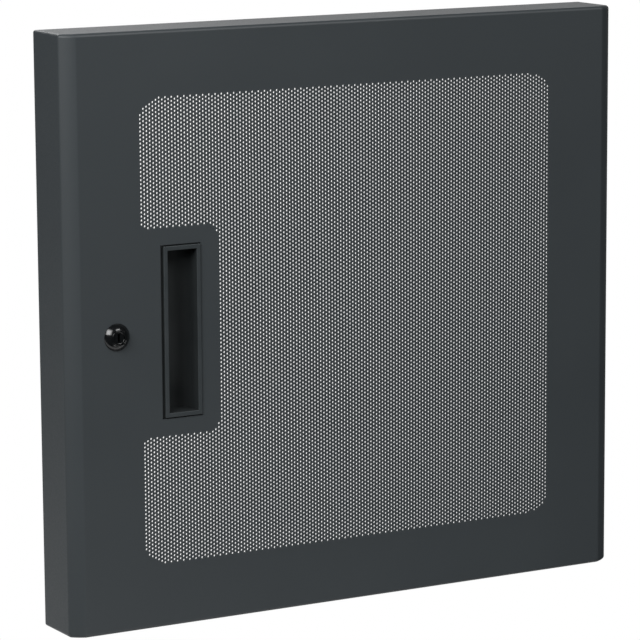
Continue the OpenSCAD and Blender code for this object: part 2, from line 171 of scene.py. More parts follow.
# name, degrees to the left of the door's front and above it, metres away, width, height, radiance
SOFT_BOXES = (
    ("left_box", 60.0, 32.0, 1.6, 0.9, 0.9, 5.0),
    ("left_high_box", 65.0, 30.0, 3.0, 1.5, 1.5, 5.8),
    ("right_box", -20.0, 40.0, 3.0, 1.5, 1.5, 7.2),
    ("low_front_box", 5.0, -50.0, 0.9, 0.6, 0.4, 2.3),
    ("top_back_box", 180.0, 40.0, 2.6, 1.2, 1.2, 5.0),
)
for name, left, up, away, wide, high, radiance in SOFT_BOXES:
    light = bpy.data.lights.new(name, "AREA")
    light.shape = "RECTANGLE"
    light.size, light.size_y = wide, high
    light.energy = radiance * np.pi * wide * high
    lamp = bpy.data.objects.new(name, light)
    left, up = np.radians((left, up))
    toward = Vector((-np.sin(left) * np.cos(up), -np.cos(left) * np.cos(up), np.sin(up)))
    lamp.location = DOOR_MIDDLE + away * toward
    lamp.rotation_mode = "QUATERNION"
    lamp.rotation_quaternion = (-toward).to_track_quat("-Z", "Y")
    bpy.context.collection.objects.link(lamp)


# ---- folded pan and punched field ----
# One sheet of 1.5 mm steel, punched while flat with 1.8 mm holes in a staggered pattern, then folded
# into a pan: wide bends down both sides, tight ones along the top and bottom, lips behind. Powder coat.
SHEET = 1.5 * MM
# Side bend, from the wall round to the front: radius of each arc, and degrees turned by its end
SIDE_ARCS = ((3.2 * MM, 45), (30 * MM, 68), (5 * MM, 90))
END_BEND = 3 * MM
BACK_BEND = 2 * MM
LIP = 10 * MM
(LEFT, FRONT, FOOT), (RIGHT, BACK, TOP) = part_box("door_skin")
MIDDLE = (FOOT + TOP) / 2

HOLE_PITCH = 3.175 * MM
HOLE_R = 0.9 * MM
HOLE_SIDES = 8
FIELD_BESIDE, FIELD_ABOVE = 61.7 * MM, 50.9 * MM      # plain margins at its sides, and above and below it
FIELD_W = RIGHT - LEFT - 2 * FIELD_BESIDE
FIELD_H = TOP - FOOT - 2 * FIELD_ABOVE
FIELD_R = 21 * MM
LAND_W, LAND_H, LAND_R = 71 * MM, 164.4 * MM, 13 * MM
NECK_R = 9 * MM
FIELD_STRIPS = 5

LOCK_AT = (LEFT + 42.5 * MM, MIDDLE)
LOCK_HOLE_R, LOCK_HOLE_FLAT = 9.6 * MM, 8.1 * MM
PULL_AT = (LEFT + 99.15 * MM, MIDDLE)
PULL_HOLE = np.array((35.6, 139)) * MM / 2


def powder_coat():
    """Charcoal powder coat: fine orange peel on a faint slow unevenness, satin gloss."""
    made = bpy.data.materials.new("charcoal_powder_coat")
    made.use_nodes = True
    made.node_tree.nodes.clear()
    coat = Shade(made.node_tree)
    place = coat.add("ShaderNodeTexCoord", {}, {}, output="Object")
    peel = coat.add("ShaderNodeTexNoise", {}, {"Vector": place, "Scale": 900.0, "Detail": 3.0})
    fine = coat.add("ShaderNodeTexNoise", {}, {"Vector": place, "Scale": 2600.0, "Detail": 2.0})
    cloud = coat.add("ShaderNodeTexNoise", {}, {"Vector": place, "Scale": 9.0, "Detail": 3.0})
    tone = (cloud * 0.5 + fine * 0.5).smooth(0.3, 0.7)
    colour = tone.mix((0.0330, 0.0395, 0.0435, 1.0), (0.0380, 0.0450, 0.0490, 1.0))
    height = peel * 0.7 + fine * 0.3
    bump = coat.add("ShaderNodeBump", {}, {"Height": height, "Strength": 0.35, "Distance": 0.00008})
    rough = peel.smooth(0.35, 0.65) * 0.08 + 0.46
    finish = coat.add(
        "ShaderNodeBsdfPrincipled",
        {},
        {"Base Color": colour, "Roughness": rough, "Normal": bump, "Specular IOR Level": 0.4},
    )
    coat.add("ShaderNodeOutputMaterial", {}, {"Surface": finish})
    return made


def build(name, points, faces, normals=None):
    """A mesh object from whole arrays. faces is a list of index arrays, one for each corner count."""
    mesh = bpy.data.meshes.new(name)
    loops = np.concatenate([f.ravel() for f in faces]).astype(np.int32)
    sizes = np.concatenate([np.full(len(f), f.shape[1]) for f in faces]).astype(np.int32)
    mesh.vertices.add(len(points))
    mesh.vertices.foreach_set("co", np.asarray(points, dtype=np.float32).ravel())
    mesh.loops.add(len(loops))
    mesh.loops.foreach_set("vertex_index", loops)
    mesh.polygons.add(len(sizes))
    mesh.polygons.foreach_set("loop_start", np.concatenate([[0], np.cumsum(sizes)[:-1]]).astype(np.int32))
    mesh.update(calc_edges=True)
    mesh.validate(clean_customdata=False)
    if normals is not None:
        mesh.shade_smooth()
        mesh.normals_split_custom_set_from_vertices(np.asarray(normals, dtype=np.float32))
    made = bpy.data.objects.new(name, mesh)
    bpy.context.collection.objects.link(made)
    return made


class Skin:
    """Surfaces of one piece, gathered as arrays of points, normals and faces. Each face is turned to
    the side that its points' normals face."""

    def __init__(self):
        self.points = []
        self.normals = []
        self.faces = {}
        self.count = 0

    def put(self, points, normals, *faces):
        points = np.asarray(points, dtype=float).reshape(-1, 3)
        normals = np.broadcast_to(np.asarray(normals, dtype=float).reshape(-1, 3), points.shape)
        self.points.append(points)
        self.normals.append(normals)
        for f in faces:
            edges = points[np.roll(f, -1, axis=1)] - points[f[:, :1]]
            out = np.cross(edges[:, :-1], edges[:, 1:]).sum(axis=1)
            inside_out = (out * normals[f].sum(axis=1)).sum(axis=1) < 0
            f = np.where(inside_out[:, None], f[:, ::-1], f)
            self.faces.setdefault(f.shape[1], []).append(f + self.count)
        self.count += len(points)

    def quad(self, corners, normal):
        self.put(corners, normal, np.arange(4)[None])

    def object(self, name):
        faces = [np.concatenate(f) for f in self.faces.values()]
        return build(name, np.concatenate(self.points), faces, np.concatenate(self.normals))


def grid(rows, columns, closed=False):
    """Quads of a grid of points kept row by row. closed joins the last column to the first."""
    last = columns if closed else columns - 1
    i, j = np.meshgrid(np.arange(rows - 1), np.arange(last), indexing="ij")
    k = (j + 1) % columns
    quads = [i * columns + j, i * columns + k, (i + 1) * columns + k, (i + 1) * columns + j]
    return np.stack(quads, axis=-1).reshape(-1, 4)


def past_box(u, v, half_w, half_h, radius):
    """Distance from (u, v) to a rounded rectangle, negative inside it."""
    du = np.maximum(np.abs(u) - half_w + radius, 0)
    dv = np.maximum(np.abs(v) - half_h + radius, 0)
    return np.hypot(du, dv) - radius


def is_punched(u, v):
    """True for hole centres whose cells fit in the rounded field, outside the plain land that comes in
    from the left."""
    left = -FIELD_W / 2
    inside = past_box(u, v, FIELD_W / 2, FIELD_H / 2, FIELD_R) <= -HOLE_PITCH / 2
    off_land = past_box(u - left, v, LAND_W, LAND_H / 2, LAND_R) >= HOLE_PITCH / 2
    neck_u, neck_v = u - left - NECK_R, np.abs(v) - LAND_H / 2 - NECK_R
    off_neck = (neck_u > 0) | (neck_v > 0) | (np.hypot(neck_u, neck_v) <= NECK_R - HOLE_PITCH / 2)
    return inside & off_land & off_neck


# Upright columns of holes, every second one half a pitch lower, with the middle of the field half way
# between two columns. Cell corners lie on a grid of STEP: columns are 3 steps apart, and holes in a
# column 2 steps.
STEP = np.array((HOLE_PITCH / np.sqrt(12), HOLE_PITCH / 2))
START = np.array((1.5, 0)) * STEP
reach = int(FIELD_W / HOLE_PITCH)      # columns and rows tried on each side of the middle, past the field
tried = np.arange(-reach, reach + 1)
column, row = np.meshgrid(tried, tried, indexing="ij")
cell = np.stack([3 * column, 2 * row + column % 2], axis=-1).reshape(-1, 2)
cell = cell[is_punched(*(cell * STEP + START).T)]
CORNERS = np.array([(2, 0), (1, 1), (-1, 1), (-2, 0), (-1, -1), (1, -1)])


def ring_template(outer, inner):
    """Triangles between two rings of points about one centre, walked by angle. Outer ones come first."""
    faces, i, j = [], 0, 0
    while i < outer or j < inner:
        if (i + 1) * inner <= (j + 1) * outer and i < outer:
            faces.append((i, (i + 1) % outer, outer + j % inner))
            i += 1
        else:
            faces.append((i % outer, outer + (j + 1) % inner, outer + j % inner))
            j += 1
    return np.array(faces)


coat_finish = powder_coat()
turn = 2 * np.pi * np.arange(HOLE_SIDES) / HOLE_SIDES
round_hole = np.stack([np.cos(turn), np.sin(turn)], axis=-1)
AS_ROUND = np.sqrt(2 * np.pi / (HOLE_SIDES * np.sin(2 * np.pi / HOLE_SIDES)))   # for a circle's area
template = ring_template(6, HOLE_SIDES)
strips = np.array_split(np.unique(cell[:, 0]), FIELD_STRIPS)
for number, columns in enumerate(strips, start=1):
    mine = cell[np.isin(cell[:, 0], columns)]
    n = len(mine)
    keys, shared = np.unique((mine[:, None] + CORNERS).reshape(-1, 2), axis=0, return_inverse=True)
    shared = shared.reshape(n, 6)
    centre = mine * STEP + START
    rim = (centre[:, None] + HOLE_R * AS_ROUND * round_hole).reshape(-1, 2)
    flat = np.concatenate([keys * STEP + START, rim])
    rim_at = len(keys) + np.arange(n * HOLE_SIDES).reshape(n, HOLE_SIDES)
    faces = np.concatenate([shared, rim_at], axis=1)[:, template].reshape(-1, 3)
    field = Skin()
    for y, facing in ((FRONT, -1), (FRONT + SHEET, 1)):
        sheet_points = np.stack([flat[:, 0], np.full(len(flat), y), flat[:, 1] + MIDDLE], axis=-1)
        field.put(sheet_points, (0, facing, 0), faces)
    wall = np.stack([rim[:, 0], np.full(len(rim), FRONT), rim[:, 1] + MIDDLE], axis=-1)
    wall = np.concatenate([wall, wall + (0, SHEET, 0)])
    inward = np.insert(-np.tile(round_hole, (n, 1)), 1, 0, axis=1)
    a = np.arange(n * HOLE_SIDES).reshape(n, HOLE_SIDES)
    b = np.roll(a, -1, axis=1)
    quads = np.stack([a, b, b + len(rim), a + len(rim)], axis=-1).reshape(-1, 4)
    field.put(wall, np.concatenate([inward, inward]), quads)
    strip = field.object(f"punched_field_{number}")
    strip.data.materials.append(coat_finish)
    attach(strip, "door")
    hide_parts("door_skin")

ARC_STEPS = 7
END_STEPS = 8
TOUCH = 1e-7             # points closer than this are the same


def bend(start, arcs):
    """Bend of tangent arcs, anticlockwise from the angle start in degrees. A step along an arc is its
    radius times the change in the way out. Returns points from (0, 0) on, and the way each faces."""
    turned, radii = [np.zeros(1)], []
    for radius, end in arcs:
        turned.append(np.linspace(turned[-1][-1], end, ARC_STEPS + 1)[1:])
        radii += [radius] * ARC_STEPS
    angle = np.radians(start + np.concatenate(turned))
    out = np.stack([np.cos(angle), np.sin(angle)], axis=-1)
    steps = np.array(radii)[:, None] * np.diff(out, axis=0)
    return np.concatenate([np.zeros((1, 2)), np.cumsum(steps, axis=0)]), out


# Plan of the pan from above, anticlockwise from its right back corner: outer points, the way that
# each moves when the outline shrinks, the way it faces, and the radius of the bend above it.
back_left, back_left_out = bend(90, ((BACK_BEND, 90),))
back_left = back_left + (LEFT + BACK_BEND, BACK)
front_left, front_left_out = bend(180, SIDE_ARCS)
bend_w, bend_d = front_left[-1] * (1, -1)
front_left = front_left + (LEFT, FRONT + bend_d)
front_right = front_left[::-1] * (-1, 1)
front_right_out = front_left_out[::-1] * (-1, 1)
corner = np.array([(RIGHT, BACK)])
outline = np.concatenate([corner, back_left, front_left, front_right, corner])
shrink = np.concatenate([[(1, 1)], back_left_out, front_left_out, front_right_out, [(1, 1)]])
facing = np.concatenate([[(0, 1)], back_left_out, front_left_out, front_right_out, [(1, 0)]])
back_count, front_count = 1 + len(back_left), len(front_left)
end_bend = np.repeat([BACK_BEND, END_BEND, BACK_BEND], [back_count, 2 * front_count, 1])
BACK_COLUMN = 0                                  # grid column that would close the back
FRONT_COLUMN = back_count + front_count - 1      # grid column of the flat front


def pan_ring(depth, angle, end):
    """Outline at one angle of the end bend: 90 is on the flat end and 0 on the walls. depth is 0 for
    the outer skin and SHEET for the inner one, and end is 1 at the top and -1 at the foot."""
    across = end_bend - (end_bend - depth) * np.cos(np.radians(angle))
    rise = -end_bend + (end_bend - depth) * np.sin(np.radians(angle))
    points = outline - shrink * across[:, None]
    z = (TOP + rise) if end > 0 else (FOOT - rise)
    out = facing * np.cos(np.radians(angle))
    up = np.full(len(outline), end * np.sin(np.radians(angle)))
    return np.column_stack([points, z]), np.column_stack([out, up])


pan = Skin()
for depth, sign in ((0.0, 1), (SHEET, -1)):
    angles = np.linspace(90, 0, END_STEPS + 1)
    rings = [pan_ring(depth, t, 1) for t in angles] + [pan_ring(depth, t, -1) for t in angles[::-1]]
    points = np.stack([r[0] for r in rings])
    normals = sign * np.stack([r[1] for r in rings])
    quads = grid(len(rings), len(outline)).reshape(len(rings) - 1, len(outline) - 1, 4)
    keep = np.ones(quads.shape[:2], dtype=bool)
    keep[len(angles) - 1, [BACK_COLUMN, FRONT_COLUMN]] = False
    pan.put(points, normals.reshape(-1, 3), quads[keep])
    for ring, up in ((points[0], 1), (points[-1], -1)):
        step = np.linalg.norm(np.diff(ring, axis=0, prepend=ring[-1:]), axis=1)
        edge = ring[step > TOUCH]
        pan.put(edge, (0, 0, sign * up), np.arange(len(edge))[None])

# Front sheet round the field: the rectangle between the bends, less the cells and two openings
front_box = np.array([(LEFT + bend_w, FOOT + END_BEND), (RIGHT - bend_w, TOP - END_BEND)])
(x0, z0), (x1, z1) = front_box
flat_turn = np.degrees(np.arcsin(LOCK_HOLE_FLAT / LOCK_HOLE_R))
half_turn = np.linspace(-flat_turn, flat_turn, 17)
lock_turn = np.radians(np.concatenate([half_turn, 180 + half_turn]))
lock_hole = np.stack([np.cos(lock_turn), np.sin(lock_turn)], axis=-1) * LOCK_HOLE_R + LOCK_AT
pull_hole = np.array([(-1, -1), (1, -1), (1, 1), (-1, 1)]) * PULL_HOLE + PULL_AT
keys, shared = np.unique((cell[:, None] + CORNERS).reshape(-1, 2), axis=0, return_inverse=True)
shared = shared.reshape(len(cell), 6)
edges = np.sort(np.stack([shared, np.roll(shared, -1, axis=1)], axis=-1).reshape(-1, 2), axis=1)
edges, uses = np.unique(edges, axis=0, return_counts=True)
edges = edges[uses == 1]
border, edges = np.unique(edges, return_inverse=True)
edges = edges.reshape(-1, 2)
border = keys[border] * STEP + START + (0, MIDDLE)
loops = [np.array([(x0, z0), (x1, z0), (x1, z1), (x0, z1)]), lock_hole, pull_hole]
count = len(border)
for loop in loops:
    own = np.arange(len(loop)) + count
    edges = np.concatenate([edges, np.stack([own, np.roll(own, -1)], axis=-1)])
    count += len(loop)
# A triangulation of all these points in millimetres, which keeps every one of the edges and merges
# points closer than 1e-5 mm
flat = np.concatenate([border] + loops) / MM
made = geometry.delaunay_2d_cdt([Vector(p) for p in flat], edges.tolist(), [], 0, 1e-5)
flat = np.array([tuple(p) for p in made[0]]) * MM
faces = np.array(made[2])
middle = flat[faces].mean(axis=1)
from_lock = middle - LOCK_AT
in_lock = (np.hypot(*from_lock.T) < LOCK_HOLE_R) & (np.abs(from_lock[:, 1]) < LOCK_HOLE_FLAT)
in_pull = np.all(np.abs(middle - PULL_AT) < PULL_HOLE, axis=1)
# nearest hole centre of each triangle's middle, out of the three nearest columns
step_u, step_v = ((middle - (0, MIDDLE) - START) / STEP).T
near = np.round(step_u / 3).astype(int)[:, None] + np.array([-1, 0, 1])
centre_v = 2 * np.round((step_v[:, None] - near % 2) / 2) + near % 2
gap = np.hypot((near * 3 - step_u[:, None]) * STEP[0], (centre_v - step_v[:, None]) * STEP[1])
pick = np.argmin(gap, axis=1)
at = np.arange(len(pick))
closest = np.stack([near[at, pick] * 3, centre_v[at, pick]], axis=-1) * STEP + START
in_cell = is_punched(*closest.T)
faces = faces[~(in_lock | in_pull | in_cell)]
for y, out in ((FRONT, -1), (FRONT + SHEET, 1)):
    points = np.stack([flat[:, 0], np.full(len(flat), y), flat[:, 1]], axis=-1)
    pan.put(points, (0, out, 0), faces)
for loop in (lock_hole, pull_hole):
    a, b = loop, np.roll(loop, -1, axis=0)
    walls = [np.column_stack([p[:, 0], np.full(len(p), y), p[:, 1]]) for p, y in
             ((a, FRONT), (b, FRONT), (b, FRONT + SHEET), (a, FRONT + SHEET))]
    walls = np.stack(walls, axis=1)
    along = walls[:, 1] - walls[:, 0]
    normal = np.cross(along, (0, 1, 0))
    normal /= np.linalg.norm(normal, axis=1)[:, None]
    pan.put(walls, np.repeat(normal, 4, axis=0), np.arange(4 * len(a)).reshape(-1, 4))

# Back: three lips turned in at the left, top and foot, and the cut edge of the right wall
INNER = BACK - SHEET
lip_left, lip_foot, lip_top = LEFT + LIP, FOOT + LIP, TOP - LIP
low, high = FOOT + BACK_BEND, TOP - BACK_BEND
wall = RIGHT - SHEET
for xa, xb, za, zb in ((LEFT + BACK_BEND, RIGHT, lip_top, high), (LEFT + BACK_BEND, RIGHT, low, lip_foot),
                       (LEFT + BACK_BEND, lip_left, lip_foot, lip_top), (wall, RIGHT, lip_foot, lip_top)):
    pan.quad([(xb, BACK, za), (xa, BACK, za), (xa, BACK, zb), (xb, BACK, zb)], (0, 1, 0))
for xa, xb, za, zb in ((LEFT + BACK_BEND, wall, lip_top, high), (LEFT + BACK_BEND, wall, low, lip_foot),
                       (LEFT + BACK_BEND, lip_left, lip_foot, lip_top)):
    pan.quad([(xa, INNER, za), (xb, INNER, za), (xb, INNER, zb), (xa, INNER, zb)], (0, -1, 0))
pan.quad([(lip_left, INNER, lip_foot), (lip_left, BACK, lip_foot), (lip_left, BACK, lip_top),
          (lip_left, INNER, lip_top)], (1, 0, 0))
pan.quad([(wall, INNER, lip_foot), (wall, BACK, lip_foot), (wall, BACK, lip_top),
          (wall, INNER, lip_top)], (-1, 0, 0))
pan.quad([(lip_left, INNER, lip_top), (wall, INNER, lip_top), (wall, BACK, lip_top),
          (lip_left, BACK, lip_top)], (0, 0, -1))
pan.quad([(lip_left, INNER, lip_foot), (wall, INNER, lip_foot), (wall, BACK, lip_foot),
          (lip_left, BACK, lip_foot)], (0, 0, 1))
door_pan = pan.object("door_pan")
door_pan.data.materials.append(coat_finish)
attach(door_pan, "door")
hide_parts("door_skin")


# ---- pull ----
# Recessed pull of moulded charcoal plastic. Its rim stands in the opening of the sheet with a gap all
# round, and a flange is bonded to the back of the sheet. The trough behind it takes four fingers.
# The trough, the rim's outer sides and the flange get a colour about half as bright as the rim's face:
# painted shade for the recess and for the gap round the rim.
RIM_SHIFT = 0.9 * MM      # the rim sits this far right of the opening's middle
RIM_AT = (PULL_AT[0] + RIM_SHIFT, MIDDLE)
RIM_HALF = np.array((32.7, 137)) * MM / 2
PULL_BAND = 3.5 * MM
PULL_DEPTH, PULL_WALL = 20 * MM, 2 * MM
TROUGH_R, TROUGH_STEPS = 12 * MM, 16
RIM_OUT = 1.2 * MM
FACE_EDGE = 0.5 * MM      # depth of the band's own edge, where its finish ends
MOUTH_ROUND = 0.4 * MM
FLANGE_T, FLANGE_REACH = 1.6 * MM, 6.2 * MM
MOUTH_HALF = RIM_HALF - PULL_BAND


def plain(kind, low, high, rough, grain, relief, metal=0.0, more=None):
    """Finish of one stuff: its colour varies between low and high, and its grain is a fine relief.
    rough is the lowest roughness and how much the grain adds."""
    made = bpy.data.materials.new(kind)
    made.use_nodes = True
    made.node_tree.nodes.clear()
    shade = Shade(made.node_tree)
    place = shade.add("ShaderNodeTexCoord", {}, {}, output="Object")
    fine = shade.add("ShaderNodeTexNoise", {}, {"Vector": place, "Scale": grain, "Detail": 3.0})
    slow = shade.add("ShaderNodeTexNoise", {}, {"Vector": place, "Scale": grain / 25, "Detail": 3.0})
    colour = (fine * 0.4 + slow * 0.6).smooth(0.3, 0.7).mix((*low, 1.0), (*high, 1.0))
    bump = shade.add("ShaderNodeBump", {}, {"Height": fine, "Strength": relief, "Distance": 0.0001})
    sockets = {
        "Base Color": colour,
        "Roughness": (fine * 0.5 + slow * 0.5).smooth(0.3, 0.7) * rough[1] + rough[0],
        "Normal": bump,
        "Metallic": metal,
    }
    sockets.update(more or {})
    finish = shade.add("ShaderNodeBsdfPrincipled", {}, sockets)
    shade.add("ShaderNodeOutputMaterial", {}, {"Surface": finish})
    return made


def straight(first, last):
    """Straight run of a profile, facing to the right of its way. Rows are a point and its normal."""
    (r0, h0), (r1, h1) = first, last
    out = np.array((h1 - h0, r0 - r1)) / np.hypot(r1 - r0, h1 - h0)
    return np.array([(r0, h0, *out), (r1, h1, *out)])


def rounded(centre, radius, start, end, steps=6, hollow=False):
    """Arc of a profile about centre between two angles in degrees. A hollow one faces its centre."""
    angle = np.radians(np.linspace(start, end, steps + 1))
    out = np.stack([np.cos(angle), np.sin(angle)], axis=-1)
    return np.hstack([np.array(centre) + radius * out, -out if hollow else out])


def mitred(skin, half, profile):
    """Four mitred sides of the pull's frame. A row is the way out from the rectangle half, the depth
    behind the front sheet, and the same two parts of its normal."""
    corners = np.array([(-1, -1), (1, -1), (1, 1), (-1, 1)])
    for a, b in zip(corners, np.roll(corners, -1, axis=0)):
        size = half + profile[:, :1]
        ends = np.stack([a * size, b * size], axis=1) + RIM_AT
        depth = np.repeat(FRONT + profile[:, 1], 2).reshape(-1, 2)
        out = np.repeat(profile[:, 2:], 2, axis=0)
        way = (a + b) / 2
        normals = np.stack([way[0] * out[:, 0], out[:, 1], way[1] * out[:, 0]], axis=-1)
        skin.put(np.stack([ends[..., 0], depth, ends[..., 1]], axis=-1), normals, grid(len(profile), 2))


def trough(skin, parts, half_height, inward):
    """Upright prism over a plan of x and depth, closed by a flat wall at each end."""
    plan = np.concatenate(parts)
    for part in parts:
        points = np.stack([np.column_stack([RIM_AT[0] + part[:, 0], FRONT + part[:, 1],
                                            np.full(len(part), RIM_AT[1] + z)])
                           for z in (-half_height, half_height)], axis=1)
        normals = np.column_stack([part[:, 2], part[:, 3], np.zeros(len(part))])
        skin.put(points, np.repeat(normals, 2, axis=0), grid(len(part), 2))
    step = np.linalg.norm(np.diff(plan[:, :2], axis=0), axis=1)
    edge = plan[np.append(True, step > TOUCH)]
    for end in (-1, 1):
        wall = np.column_stack([RIM_AT[0] + edge[:, 0], FRONT + edge[:, 1],
                                np.full(len(edge), RIM_AT[1] + end * half_height)])
        skin.put(wall, (0, 0, -end if inward else end), np.arange(len(edge))[None])


rim, pull = Skin(), Skin()
cup_half = MOUTH_HALF[0] + PULL_WALL
back = SHEET + FLANGE_T
side_at = FACE_EDGE - RIM_OUT
for part in (
    straight((FLANGE_REACH, back), (PULL_WALL - PULL_BAND, back)),
    straight((FLANGE_REACH, SHEET), (FLANGE_REACH, back)),
    straight((0, SHEET), (FLANGE_REACH, SHEET)),
    straight((0, side_at), (0, SHEET)),
):
    mitred(pull, RIM_HALF, part)
for part in (
    rounded((-FACE_EDGE, side_at), FACE_EDGE, 0, -90),
    straight((-PULL_BAND + MOUTH_ROUND, -RIM_OUT), (-FACE_EDGE, -RIM_OUT)),
    rounded((-PULL_BAND + MOUTH_ROUND, MOUTH_ROUND - RIM_OUT), MOUTH_ROUND, -90, -180),
):
    mitred(rim, RIM_HALF, part)
w, lip_y = MOUTH_HALF[0], MOUTH_ROUND - RIM_OUT
trough(pull, [
    straight((-w, lip_y), (-w, PULL_DEPTH - TROUGH_R)),
    rounded((-w + TROUGH_R, PULL_DEPTH - TROUGH_R), TROUGH_R, 180, 90, TROUGH_STEPS, hollow=True),
    straight((-w + TROUGH_R, PULL_DEPTH), (w - TROUGH_R, PULL_DEPTH)),
    rounded((w - TROUGH_R, PULL_DEPTH - TROUGH_R), TROUGH_R, 90, 0, TROUGH_STEPS, hollow=True),
    straight((w, PULL_DEPTH - TROUGH_R), (w, lip_y)),
], MOUTH_HALF[1], inward=True)
w, d, r = cup_half, PULL_DEPTH + PULL_WALL, TROUGH_R + PULL_WALL
trough(pull, [
    straight((w, back), (w, d - r)),
    rounded((w - r, d - r), r, 0, 90, TROUGH_STEPS),
    straight((w - r, d), (-w + r, d)),
    rounded((-w + r, d - r), r, 90, 180, TROUGH_STEPS),
    straight((-w, d - r), (-w, back)),
], MOUTH_HALF[1] + PULL_WALL, inward=False)
# the second colour is darker than the first: painted shade inside the trough and on the rim's sides in the
# gap
for skin, name, low, high, rough in (
    (rim, "pull_rim", (0.029, 0.035, 0.038), (0.034, 0.040, 0.043), (0.42, 0.10)),
    (pull, "pull_trough_painted_shade", (0.013, 0.016, 0.017), (0.017, 0.020, 0.021), (0.52, 0.10)),
):
    piece = skin.object(name)
    stuff = plain(name, low, high, rough, grain=1600.0, relief=0.35, more={"Specular IOR Level": 0.35})
    piece.data.materials.append(stuff)
    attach(piece, "door")
    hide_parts("pull_cup")


# ---- lock ----
# Quarter-turn cam lock. Its die-cast body has a domed gloss black face outside, and a thread with two
# flats behind the sheet; a hexagon nut on a toothed washer clamps it. The plug turns inside it.
LOCK_AXIS = np.array((LOCK_AT[0], FRONT, LOCK_AT[1]))
FACE_R = 11 * MM
DOME_R = FACE_R + 2 * MM
LIP_ROUND = 0.3 * MM
BORE_R = 6.15 * MM
LOCK_LEN = 35.98 * MM     # a hair short of the stop washer behind it
THREAD_R, THREAD_PITCH, THREAD_DEEP = 9.5 * MM, 1.25 * MM, 0.45 * MM
FLAT_AT = 8 * MM
STOP_T = 1.2 * MM
LUG_IN, LUG_OUT = 7.05 * MM, 8.8 * MM
LUG_TURN = (-150, -130)
LOCK_STEPS = 96
TINY = 1e-9               # keeps a division from meeting 0


def lathe(skin, at, parts, steps):
    """Surface of revolution about the line through at along y. Profile rows are the radius, the place
    along the line, and the same two parts of the normal."""
    turn = 2 * np.pi * np.arange(steps) / steps
    c, s = np.cos(turn), np.sin(turn)
    for part in parts:
        r, h, out, along = (part[:, k, None] for k in range(4))
        points = np.stack([r * c, h + 0 * c, r * s], axis=-1)
        normals = np.stack([out * c, along + 0 * c, out * s], axis=-1)
        skin.put(points + np.asarray(at), normals.reshape(-1, 3), grid(len(part), steps, closed=True))


housing = Skin()
dome_y = np.sqrt(DOME_R ** 2 - FACE_R ** 2)
lip_r = BORE_R + LIP_ROUND
lip_y = dome_y - np.sqrt((DOME_R - LIP_ROUND) ** 2 - lip_r ** 2)
rim_turn, lip_turn = np.degrees(np.arctan2((-dome_y, lip_y - dome_y), (FACE_R, lip_r)))
lathe(housing, LOCK_AXIS, [
    straight((FACE_R, 0), (THREAD_R - THREAD_DEEP, 0)),
    rounded((0, dome_y), DOME_R, rim_turn, lip_turn, 24),
    rounded((lip_r, lip_y), LIP_ROUND, lip_turn, -180, 8),
    straight((BORE_R, LOCK_LEN), (BORE_R, lip_y)),
], steps=LOCK_STEPS)
# thread: the radius falls and rises along a helix and runs out over the last millimetre, and two flats
# at the top and foot cut it off
rows, columns = 230, LOCK_STEPS
along = np.linspace(0, LOCK_LEN, rows)[:, None]
turn = 2 * np.pi * np.arange(columns)[None] / columns
phase = (along / THREAD_PITCH + turn / (2 * np.pi)) % 1.0
cut = THREAD_DEEP * (1 - np.abs(2 * phase - 1)) * np.clip((LOCK_LEN - along) / MM, 0, 1)
radius = np.minimum(THREAD_R - cut, FLAT_AT / np.maximum(np.abs(np.sin(turn)), TINY))
points = np.stack([radius * np.cos(turn), along + 0 * turn, radius * np.sin(turn)], axis=-1)
down = np.gradient(points, axis=0)
around = np.roll(points, -1, axis=1) - np.roll(points, 1, axis=1)
normals = np.cross(down, around)
normals /= np.linalg.norm(normals, axis=-1, keepdims=True)
normals *= np.sign((normals * points)[..., [0, 2]].sum(axis=-1, keepdims=True))
housing.put(points + LOCK_AXIS, normals.reshape(-1, 3), grid(rows, columns, closed=True))
bore = np.stack([BORE_R * np.cos(turn[0]), 0 * turn[0] + LOCK_LEN, BORE_R * np.sin(turn[0])], axis=-1)
housing.put(np.stack([points[-1], bore]) + LOCK_AXIS, (0, 1, 0), grid(2, columns, closed=True))
# lug on the end of the body that stops the turn
lug = np.radians(np.linspace(*LUG_TURN, 5))
arcs = [np.stack([r * np.cos(lug), 0 * lug + h, -r * np.sin(lug)], axis=-1) + LOCK_AXIS
        for r, h in ((LUG_IN, LOCK_LEN), (LUG_IN, LOCK_LEN + STOP_T),
                     (LUG_OUT, LOCK_LEN + STOP_T), (LUG_OUT, LOCK_LEN))]
out = np.stack([np.cos(lug), 0 * lug, -np.sin(lug)], axis=-1)
for a, b, normal in ((0, 1, -out), (1, 2, (0, 1, 0)), (2, 3, out)):
    normal = np.tile(normal, (2, 1)) if np.ndim(normal) > 1 else normal
    housing.put(np.stack([arcs[a], arcs[b]]), normal, grid(2, len(lug)))
for k, way in ((0, -1), (-1, 1)):
    side = np.array([arc[k] for arc in arcs])
    housing.quad(side, way * np.array((-np.sin(lug[k]), 0, -np.cos(lug[k]))))
housing = housing.object("lock_body")
gloss_black = plain("gloss_black", (0.0035, 0.0042, 0.0045), (0.0055, 0.0062, 0.0068),
                    rough=(0.13, 0.05), grain=500.0, relief=0.03)
housing.data.materials.append(gloss_black)
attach(housing, "door")
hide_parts("lock_housing")

